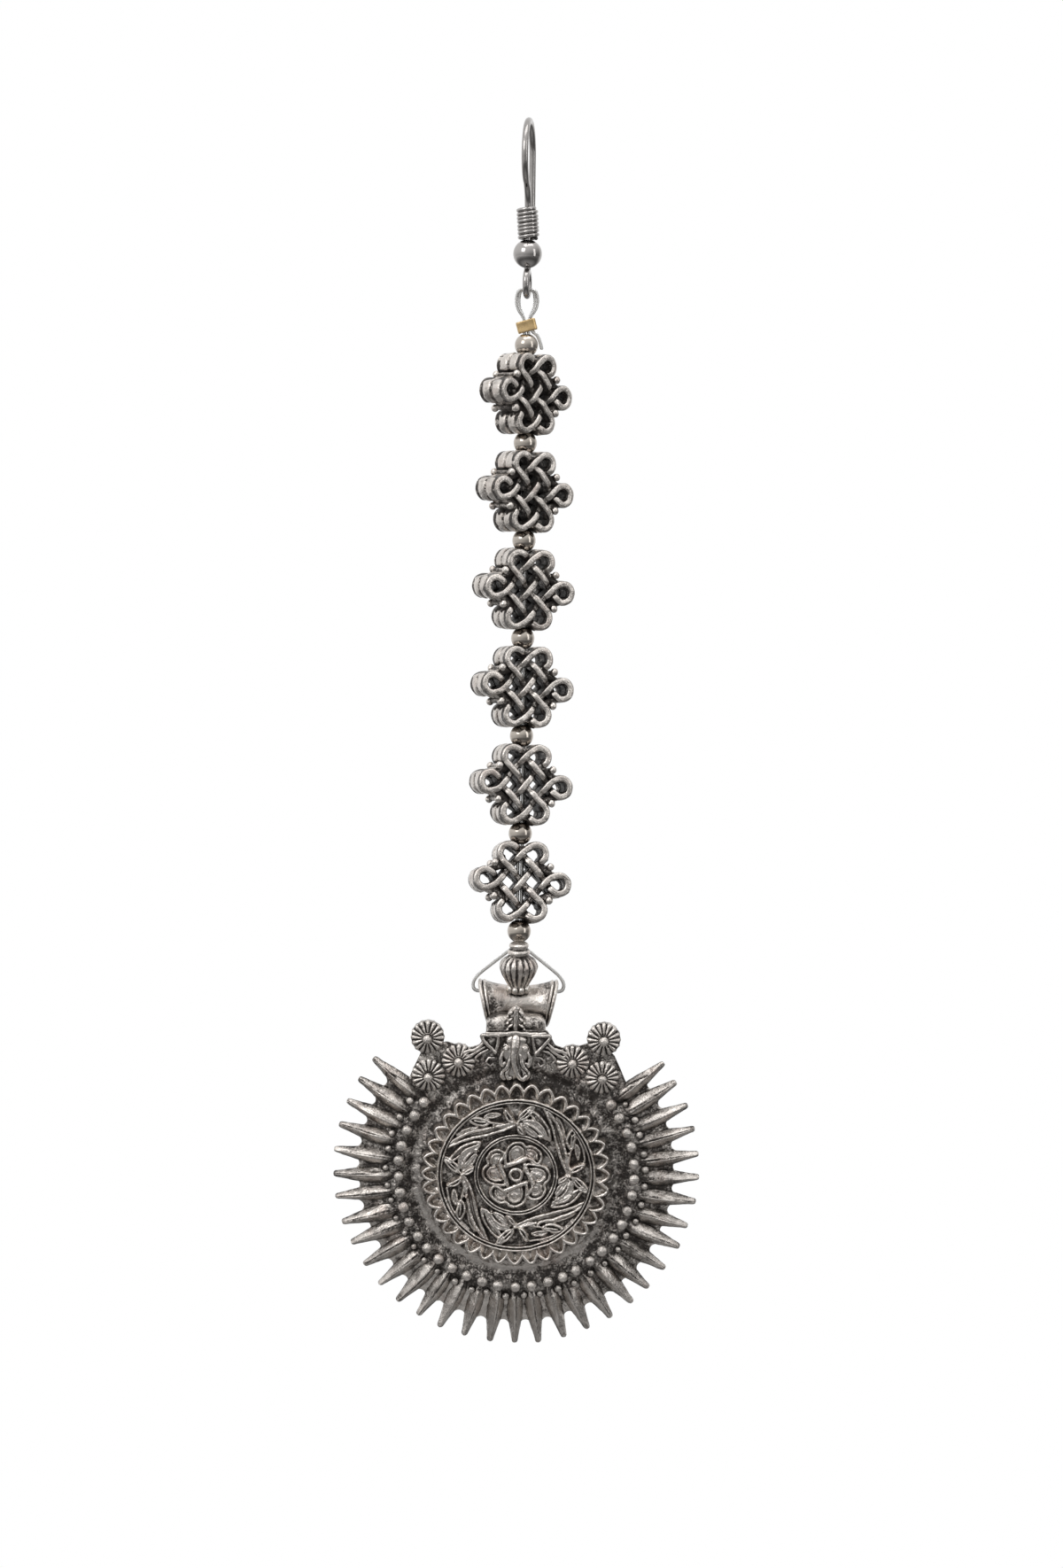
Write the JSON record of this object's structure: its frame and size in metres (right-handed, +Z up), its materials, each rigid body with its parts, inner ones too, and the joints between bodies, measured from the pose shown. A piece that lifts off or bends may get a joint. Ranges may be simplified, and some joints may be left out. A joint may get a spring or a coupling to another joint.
{
  "type": "maang tikka",
  "caption": "Maang tikka: fish-hook wire, strand of pierced knot beads on clear thread, and a cast sunburst pendant hung from its bail tube.",
  "frame": {"origin": "highest inner point of the hook, where the jewel hangs", "axes": "+Z up along the strand, -Y towards the viewer and the decorated faces, +X to the viewer's right"},
  "size_m": [0.0382, 0.0112, 0.1278],
  "materials": {
    "steel_wire": "polished grey steel wire with darker oxide between the coils",
    "clear_thread": "clear nylon monofilament",
    "brass_crimp": "squeezed brass, slightly dull",
    "dark_steel_bead": "polished gunmetal grey",
    "oxidised_silver": "oxidised cast silver-tone alloy, dark in the recesses and bright on worn ridges"
  },
  "bodies": {
    "strand": {"hook_wire": "steel_wire", "hook_coil": "steel_wire", "hook_ball": "steel_wire", "thread": "clear_thread", "crimp": "brass_crimp", "round_bead_1": "dark_steel_bead", "round_bead_2": "dark_steel_bead", "round_bead_3": "dark_steel_bead", "round_bead_4": "dark_steel_bead", "round_bead_5": "dark_steel_bead", "round_bead_6": "dark_steel_bead", "round_bead_7": "dark_steel_bead", "knot_bead_1": "oxidised_silver", "knot_bead_2": "oxidised_silver", "knot_bead_3": "oxidised_silver", "knot_bead_4": "oxidised_silver", "knot_bead_5": "oxidised_silver", "knot_bead_6": "oxidised_silver"},
    "pendant": {"pendant": "oxidised_silver"}
  },
  "joints": [
    {"name": "pendant_swing", "type": "hinge", "parent": "strand", "child": "pendant", "pos_m": [0, 0, -0.09007], "axis": [1, 0, 0], "range_deg": [-6, 34]}
  ]
}
